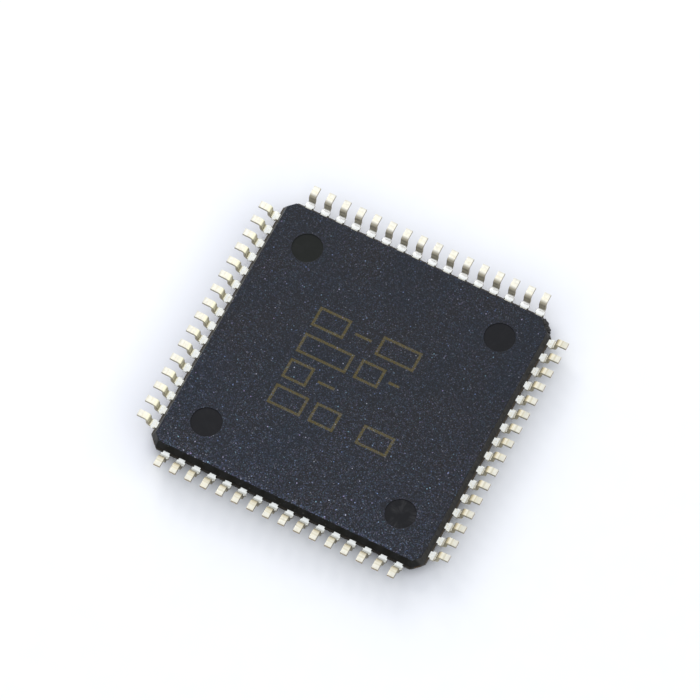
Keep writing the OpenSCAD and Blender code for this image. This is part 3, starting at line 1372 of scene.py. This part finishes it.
@dataclass
class LeadSet:
    """All 64 leads, swept by Geometry Nodes: finger, neck, shoulder with its dam-bar stubs, bends and foot."""

    half_w: float
    reach: float
    middle_z: float
    rise: float
    out: float = 1.0
    thickness: float = 0.15
    per_side: int = 16
    pitch: float = 0.8
    width: float = 0.34
    foot_l: float = 0.37
    bend_r: float = 0.165
    stub_w: float = 0.45
    stub_gap: float = 0.1
    stub_l: float = 0.195
    stub_in: float = 0.02
    tip_y: float = 3.2
    tip_pitch: float = 0.32
    tip_w: float = 0.14
    finger_l: float = 0.4
    neck: float = 0.406
    lean: float = 0.002
    heel_drop: float = 0.02
    toe_short: float = 0.004
    edge_r: float = 0.022
    sway: float = 0.014
    droop: float = 0.012
    seed: int = 7
    bend_steps: int = 7
    edge_steps: int = 2
    crisp: float = math.radians(50.0)

    def stations(self) -> List[Tuple[float, float, float, float]]:
        """Lists the points that a lead runs through.

        Returns:
            For each point its reach, height over the lead frame, half width and radius of its bend.
        """
        stub = self.half_w + self.stub_gap
        bend = self.reach - self.foot_l - self.bend_r
        half, wide, tip = self.width / 2.0, self.stub_w / 2.0, self.tip_w / 2.0
        return [
            (self.tip_y, 0.0, tip, 0.0),
            (self.tip_y + self.finger_l, 0.0, tip, 0.0),
            (self.half_w - self.neck, 0.0, half, 0.0),
            (stub, 0.0, half, 0.0),
            (stub + self.stub_in, 0.0, wide, 0.0),
            (stub + self.stub_l, 0.0, wide, 0.0),
            (stub + self.stub_l + self.lean, 0.0, half, 0.0),
            (bend - self.lean, 0.0, half, self.bend_r),
            (bend, self.rise - self.heel_drop, half, self.bend_r),
            (self.reach - self.toe_short, self.rise, half, 0.0),
        ]

    def inputs(self) -> Dict[str, Any]:
        """Lists what the tree takes.

        Returns:
            Sizes, seed and finish by the names of the tree's inputs.
        """
        return {
            "Leads per side": self.per_side,
            "Pitch": self.pitch,
            "Tip pitch": self.tip_pitch,
            "Width": self.width,
            "Thickness": self.thickness,
            "Middle height": self.middle_z,
            "Edge radius": self.edge_r,
            "Sway": self.sway,
            "Droop": self.droop,
            "Seed": self.seed,
            "Finish": MatteTin(half_w=self.half_w, foot_l=self.foot_l).material(),
        }

    def tree(self, sizes: Dict[str, Any]) -> Tuple[bpy.types.NodeTree, Dict[str, str]]:
        """Builds the tree that sweeps the leads.

        Args:
            sizes: What the tree takes, by the names of its inputs.

        Returns:
            The tree, and the identifier of each of its inputs by name.
        """
        tree = bpy.data.node_groups.new("lead_set", "GeometryNodeTree")
        tree.is_modifier = True
        tree.interface.new_socket("Leads", in_out="OUTPUT", socket_type="NodeSocketGeometry")
        kinds = {int: "NodeSocketInt", float: "NodeSocketFloat", bpy.types.Material: "NodeSocketMaterial"}
        known = {
            name: tree.interface.new_socket(name, in_out="INPUT", socket_type=kinds[type(value)]).identifier
            for name, value in sizes.items()
        }
        graph = Graph(tree)
        given = graph.node("NodeGroupInput")
        sized = {name: given.output(identifier) for name, identifier in known.items()}
        leads = self.sweep(graph, sized)
        leads = self.spread(graph, sized, leads)
        leads = graph.node("GeometryNodeRealizeInstances", None, {"Geometry": leads})
        leads = graph.node("GeometryNodeSetMaterial", None, {"Geometry": leads, "Material": sized["Finish"]})
        graph.node("NodeGroupOutput", None, {0: leads})
        return tree, known

    @staticmethod
    def keep(graph: Graph, geometry: Value, name: str, value: Value) -> Value:
        """Stores a number on each point of the geometry.

        Args:
            graph: Graph of the tree.
            geometry: The geometry.
            name: Name of the attribute.
            value: The number.

        Returns:
            The geometry with its attribute.
        """
        settings = {"data_type": "FLOAT", "domain": "POINT"}
        inputs = {"Geometry": geometry, "Name": name, "Value": value}
        return graph.node("GeometryNodeStoreNamedAttribute", settings, inputs)

    @staticmethod
    def kept(graph: Graph, name: str) -> Value:
        """Reads a number that was stored on the points."""
        settings = {"data_type": "FLOAT"}
        return graph.node("GeometryNodeInputNamedAttribute", settings, {"Name": name}, "Attribute")

    @staticmethod
    def fillet(graph: Graph, curve: Value, steps: int, radius: Value) -> Value:
        """Rounds the corners of a curve."""
        inputs = {"Curve": curve, "Count": steps, "Radius": radius, "Limit Radius": True}
        return graph.node("GeometryNodeFilletCurve", {"mode": "POLY"}, inputs)

    @staticmethod
    def draw(graph: Graph, lead: Value, seed: Operand, low: float) -> Value:
        """Draws a random number for each lead, from low to low + 1."""
        inputs = {"Min_001": low, "Max_001": low + 1.0, "ID": lead, "Seed": seed}
        return graph.node("FunctionNodeRandomValue", {"data_type": "FLOAT"}, inputs, "Value_001")

    def choose(self, graph: Graph, station: Value, column: int) -> Value:
        """Picks a number of the station list.

        Args:
            graph: Graph of the tree.
            station: Place in the list.
            column: Which of a station's numbers is wanted.

        Returns:
            The number at that place.
        """
        stations = self.stations()
        inputs = {place + 1: numbers[column] for place, numbers in enumerate(stations)}
        settings = {"data_type": "FLOAT", "items": len(stations)}
        return graph.node("GeometryNodeIndexSwitch", settings, {"Index": station, **inputs})

    def sweep(self, graph: Graph, sized: Dict[str, Value]) -> Value:
        """Sweeps every lead's section along its own path, all on the +Y side.

        Args:
            graph: Graph of the tree.
            sized: The tree's inputs by name.

        Returns:
            The swept leads.
        """
        length = len(self.stations())
        index = graph.node("GeometryNodeInputIndex")
        station = graph.math("MODULO", index, length)
        lead = graph.math("FLOOR", index / length)
        per_side = sized["Leads per side"]
        place = graph.math("MODULO", lead, per_side) - (per_side - 1.0) * 0.5
        fanned = graph.math("LESS_THAN", station, 1.5)
        x = place * (fanned * sized["Tip pitch"] + (1.0 - fanned) * sized["Pitch"])
        z = self.choose(graph, station, 1) + sized["Middle height"]
        spot = graph.join(x, self.choose(graph, station, 0), z)
        count = per_side * 4.0 * length
        points = graph.node("GeometryNodePoints", None, {"Count": count, "Position": spot})
        points = self.keep(graph, points, "lead", lead)
        points = self.keep(graph, points, "half", self.choose(graph, station, 2))
        points = self.keep(graph, points, "bend", self.choose(graph, station, 3))
        inputs = {"Points": points, "Curve Group ID": lead, "Weight": station}
        paths = graph.node("GeometryNodePointsToCurves", None, inputs)
        paths = self.fillet(graph, paths, self.bend_steps, self.kept(graph, "bend"))
        paths = graph.node("GeometryNodeSetCurveNormal", {"mode": "Z_UP"}, {"Curve": paths})
        total = graph.node("GeometryNodeSplineLength", None, None, "Length")
        passed = graph.node("GeometryNodeSplineParameter", None, None, "Length")
        paths = self.keep(graph, paths, LeadMark.TOE_RUN.value, total - passed)
        here = graph.node("GeometryNodeInputPosition")
        for name, number in zip(("mid_x", "mid_y"), graph.axes(here)):
            paths = self.keep(graph, paths, name, number)
        inputs = {"Width": sized["Width"], "Height": sized["Thickness"]}
        section = graph.node("GeometryNodeCurvePrimitiveQuadrilateral", None, inputs)
        section = self.fillet(graph, section, self.edge_steps, sized["Edge radius"])
        inputs = {"Curve": paths, "Profile Curve": section, "Fill Caps": True}
        return graph.node("GeometryNodeCurveToMesh", None, inputs)

    def spread(self, graph: Graph, sized: Dict[str, Value], leads: Value) -> Value:
        """Sets the leads' widths, lets each sway a little and turns it to its side.

        Args:
            graph: Graph of the tree.
            sized: The tree's inputs by name.
            leads: The swept leads.

        Returns:
            The leads in place.
        """
        lead = self.kept(graph, "lead")
        mid_x, mid_y = self.kept(graph, "mid_x"), self.kept(graph, "mid_y")
        tone = self.draw(graph, lead, sized["Seed"], 0.0)
        drift = self.draw(graph, lead, sized["Seed"] + 1.0, -0.5)
        half = sized["Width"] * 0.5
        widen = self.kept(graph, "half") / half
        x, y, z = graph.axes(graph.node("GeometryNodeInputPosition"))
        edge = abs(x - mid_x) / half
        middle = self.middle_z + self.rise / 2.0
        lifted = graph.step(z, middle, self.rise * 2.0)
        x = mid_x + (x - mid_x) * widen + drift * sized["Sway"] * lifted
        y = mid_y + (y - mid_y) * widen
        z = z - tone * sized["Droop"] * graph.step(z, middle, self.rise)
        side = graph.math("FLOOR", lead / sized["Leads per side"])
        inputs = {"Vector": graph.join(x, y, z), "Angle": side * -QUARTER}
        spot = graph.node("ShaderNodeVectorRotate", {"rotation_type": "Z_AXIS"}, inputs)
        leads = self.keep(graph, leads, LeadMark.TONE.value, tone)
        leads = self.keep(graph, leads, LeadMark.EDGE.value, edge)
        leads = graph.node("GeometryNodeSetPosition", None, {"Geometry": leads, "Position": spot})
        bent = graph.node("GeometryNodeInputMeshEdgeAngle", None, None, "Unsigned Angle")
        sharp = graph.math("GREATER_THAN", bent, self.crisp)
        inputs = {0: leads, "Selection": sharp, "Shade Smooth": False}
        return graph.node("GeometryNodeSetShadeSmooth", {"domain": "EDGE"}, inputs)

    def build(self) -> bpy.types.Object:
        """Runs the tree and keeps its result as a plain mesh.

        Returns:
            The finished leads, which stand for their CAD nodes.
        """
        sizes = self.inputs()
        tree, known = self.tree(sizes)
        draft = Workshop.link("lead_draft", bpy.data.meshes.new("lead_draft"))
        rows = draft.modifiers.new("rows", "NODES")
        rows.node_group = tree
        for name, value in sizes.items():
            rows[known[name]] = value
        Workshop.even(draft, keep_sharp=True)
        piece = Workshop.finish(draft, "leads", Slot.TIN)
        bpy.data.node_groups.remove(tree)
        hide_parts(*(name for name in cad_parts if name.startswith("leads_")))
        return piece


@dataclass
class InnerParts:
    """Die, adhesive, paddle and wires inside the body, as the CAD made them."""

    paddle: Finish = RolledCopper()
    adhesive: Finish = SilverAdhesive()
    die: Finish = PatternedSilicon()
    wires: Finish = DrawnGold()

    def dress(self) -> None:
        """Gives every inner node its finish."""
        finishes = {
            "die_paddle": self.paddle,
            "die_attach": self.adhesive,
            "silicon_die": self.die,
            "bond_wires": self.wires,
        }
        for start, finish in finishes.items():
            material = finish.material()
            for name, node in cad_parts.items():
                if name.startswith(start):
                    node.data.materials.clear()
                    node.data.materials.append(material)
                    LOG.info("%s: dressed in %s", name, finish.name)


@dataclass(frozen=True)
class Lamp:
    """A square soft box that looks at the chip."""

    name: str
    azimuth: float
    elevation: float
    distance: float
    size: float
    power: float
    colour: Tuple[float, float, float]

    def build(self) -> None:
        """Hangs the soft box."""
        light = bpy.data.lights.new(self.name, "AREA")
        light.size = self.size
        light.energy = self.power
        light.color = self.colour
        back = direction(self.azimuth, self.elevation)
        lamp = Workshop.link(self.name, light)
        lamp.location = back * self.distance
        lamp.rotation_mode = "QUATERNION"
        lamp.rotation_quaternion = (-back).to_track_quat("-Z", "Y")


@dataclass
class Studio:
    """Table, soft light and camera around the chip."""

    azimuth: float = math.radians(27.36)
    elevation: float = math.radians(64.75)
    distance: float = 293.5 * MM
    lens: float = 327.9
    sensor: float = 36.0
    clip_start: float = 0.01
    aim_z: float = 0.5 * MM
    aside: float = -0.161 * MM
    above: float = 1.57 * MM
    table_w: float = 1.6
    under: float = 0.002 * MM
    sky: Colour = (1.11, 1.135, 1.19, 1.0)
    sky_strength: float = 1.0
    key: Lamp = Lamp(
        name="key",
        azimuth=math.radians(222.0),
        elevation=math.radians(26.0),
        distance=0.5,
        size=0.3,
        power=1.87,
        colour=(1.0, 0.97, 0.92),
    )

    def build(self) -> None:
        """Sets the table, the light and the camera."""
        self.table()
        self.light()
        self.camera()
        bpy.context.scene.view_settings.view_transform = "Standard"

    def table(self) -> None:
        """Lays the pale table just under the chip."""
        half = self.table_w / 2.0
        signs = ((-1, -1), (1, -1), (1, 1), (-1, 1))
        corners = [Vector((x * half, y * half, -self.under)) for x, y in signs]
        mesh = bpy.data.meshes.new("table")
        mesh.from_pydata(corners, [], [[0, 1, 2, 3]])
        mesh.materials.append(PaleTable().material())
        Workshop.link("table", mesh)

    def light(self) -> None:
        """Hangs the lamp and lights the sky."""
        self.key.build()
        world = bpy.data.worlds.new("sky")
        world.use_nodes = True
        background = world.node_tree.nodes["Background"]
        background.inputs["Color"].default_value = self.sky
        background.inputs["Strength"].default_value = self.sky_strength
        bpy.context.scene.world = world

    def camera(self) -> None:
        """Sets the camera where the photograph was taken from."""
        back = direction(self.azimuth, self.elevation)
        turn = (-back).to_track_quat("-Z", "Y")
        lens = bpy.data.cameras.new("camera")
        lens.lens = self.lens
        lens.sensor_width = self.sensor
        lens.clip_start = self.clip_start
        camera = Workshop.link("camera", lens)
        camera.rotation_mode = "QUATERNION"
        camera.rotation_quaternion = turn
        shift = turn @ Vector((self.aside, self.above, 0.0))
        camera.location = Vector((0.0, 0.0, self.aim_z)) + back * self.distance + shift
        bpy.context.scene.camera = camera


def main() -> None:
    """Builds the chip's pieces in order, dresses them and sets the studio around them."""
    logging.basicConfig(level=logging.INFO, format="%(name)s: %(message)s")
    body_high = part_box("mould_body")[1]
    lead_low, lead_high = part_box("leads_01_04")
    body = MouldedBody(half_w=lead_high.y / MM - LeadSet.out, height=body_high.z / MM)
    body.build()
    GateStub(body).build()
    thickness = LeadSet.thickness
    LeadSet(
        half_w=body.half_w,
        reach=lead_high.y / MM,
        middle_z=lead_low.z / MM + thickness / 2.0,
        rise=(lead_high.z - lead_low.z) / MM - thickness,
    ).build()
    InnerParts().dress()
    Studio().build()


if __name__ == "__main__":
    main()
